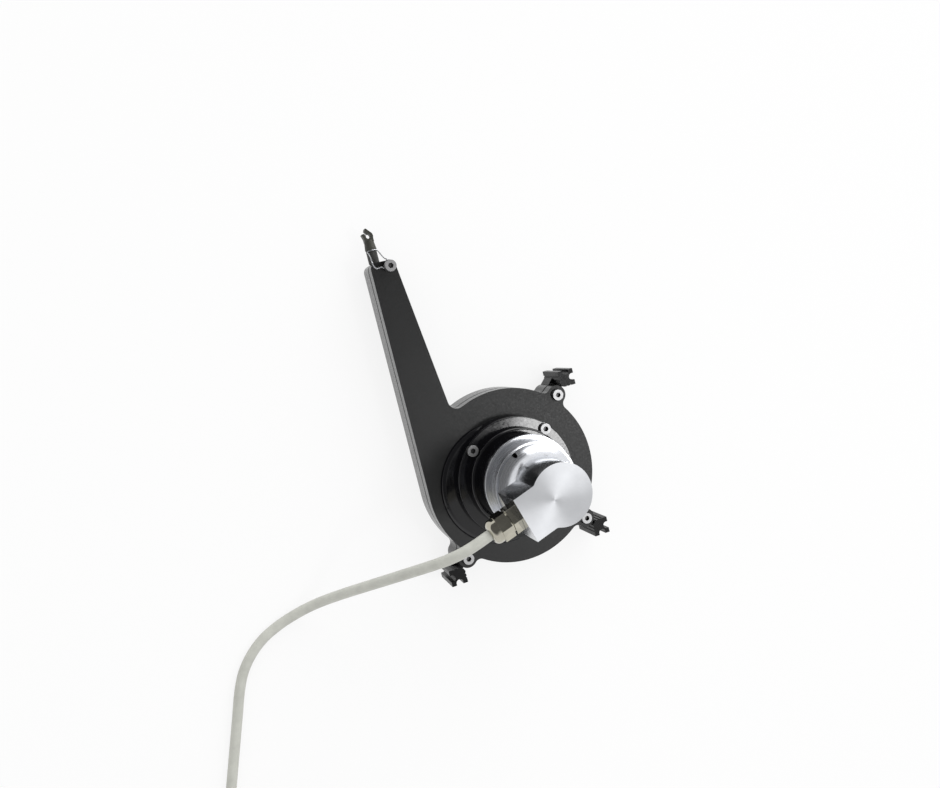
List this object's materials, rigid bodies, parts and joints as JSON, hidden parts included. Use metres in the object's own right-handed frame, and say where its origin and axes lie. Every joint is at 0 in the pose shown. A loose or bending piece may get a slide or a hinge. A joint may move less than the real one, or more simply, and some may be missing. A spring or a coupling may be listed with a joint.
{
  "type": "draw wire encoder",
  "caption": "Draw wire encoder: round spring-drum housing with a long wire outlet arm, a clip on the measuring wire, and an encoder with a side cable gland on the drum axis.",
  "frame": {"origin": "centre of the mounting face, on the drum axis", "axes": "+Z along the drum axis from the mounting face to the encoder, +Y along the wire as it leaves the outlet arm"},
  "size_m": [0.2957, 0.4208, 0.1015],
  "materials": {
    "housing_plastic": "fine-grained moulded charcoal plastic",
    "seal_rubber": "black rubber",
    "foot_plastic": "extruded black plastic",
    "screw_steel": "turned stainless steel",
    "brass": "turned brass",
    "machined_aluminium": "turned",
    "spring_steel": "cold-rolled spring steel",
    "bearing_steel": "ground",
    "shaft_steel": "ground",
    "drum_plastic": "natural acetal",
    "wire_rope": "stranded stainless steel wire",
    "adapter_gloss": "glossy black anodised",
    "flange_aluminium": "fine-turned, bright",
    "cap_aluminium": "fine-turned, satin",
    "magnet": "nickel-plated magnet",
    "circuit_board": "green solder mask",
    "chip_plastic": "black moulded package",
    "gland_nickel": "nickel-plated brass",
    "cable_sheath": "grey smooth sheath",
    "tie_plastic": "black strap",
    "core_insulation": "thin coloured insulation",
    "ferrule": "tinned copper",
    "nozzle_plastic": "moulded, dark",
    "clip_plastic": "moulded, dark olive grey",
    "felt": "pressed felt"
  },
  "bodies": {
    "housing": {"rear_housing": "housing_plastic", "front_housing": "housing_plastic", "housing_seal": "seal_rubber", "mounting_feet": "foot_plastic", "housing_screws": "screw_steel", "shell_inserts": "brass", "mount_inserts": "brass", "spring_arbor": "machined_aluminium", "arbor_screws": "screw_steel", "power_spring": "spring_steel", "rear_bearing_outer": "bearing_steel", "front_bearing_outer": "bearing_steel", "bearing_circlip": "spring_steel", "encoder_adapter": "adapter_gloss", "adapter_screws": "screw_steel", "adapter_inserts": "brass", "flange_screws": "screw_steel", "encoder_flange": "flange_aluminium", "flange_set_screw": "screw_steel", "encoder_bearing_outers": "bearing_steel", "bearing_spacer": "machined_aluminium", "board_standoffs": "brass", "sensor_board": "circuit_board", "board_parts": "chip_plastic", "board_screws": "screw_steel", "encoder_cap": "cap_aluminium", "cap_seal": "seal_rubber", "gland_body": "gland_nickel", "gland_seal": "seal_rubber", "gland_nut": "gland_nickel", "signal_cable": "cable_sheath", "cable_coil": "cable_sheath", "coil_tie": "tie_plastic", "cable_tail": "cable_sheath", "core_leads": "core_insulation", "lead_ferrules": "ferrule", "outlet_nozzle": "nozzle_plastic", "guide_bush": "drum_plastic", "wiper_felt": "felt", "wire_run": "wire_rope", "retaining_wire": "spring_steel"},
    "drum": {"wire_drum": "drum_plastic", "drum_key": "shaft_steel", "drum_shaft": "shaft_steel", "shaft_spacer": "brass", "shaft_circlip": "spring_steel", "wire_winding": "wire_rope", "rear_bearing_inner": "bearing_steel", "front_bearing_inner": "bearing_steel", "drum_bearing_balls": "bearing_steel", "shaft_coupling": "machined_aluminium", "coupling_screws": "screw_steel", "encoder_bearing_inners": "bearing_steel", "encoder_bearing_balls": "bearing_steel", "encoder_shaft": "shaft_steel", "magnet_holder": "drum_plastic", "encoder_magnet": "magnet"},
    "wire_end": {"wire_lead": "wire_rope", "crimp_sleeve": "brass", "wire_clip": "clip_plastic"}
  },
  "joints": [
    {"name": "drum_spin", "type": "hinge", "parent": "housing", "child": "drum", "pos_m": [0, 0, 0], "axis": [0, 0, -1], "range_deg": [0, 3410]},
    {"name": "wire_pull", "type": "slide", "parent": "housing", "child": "wire_end", "axis": [0, 1, 0], "range_m": [0, 3]}
  ],
  "couplings": [
    {"joint": "wire_pull", "follows": "drum_spin", "m_per_rad": 0.0504}
  ]
}
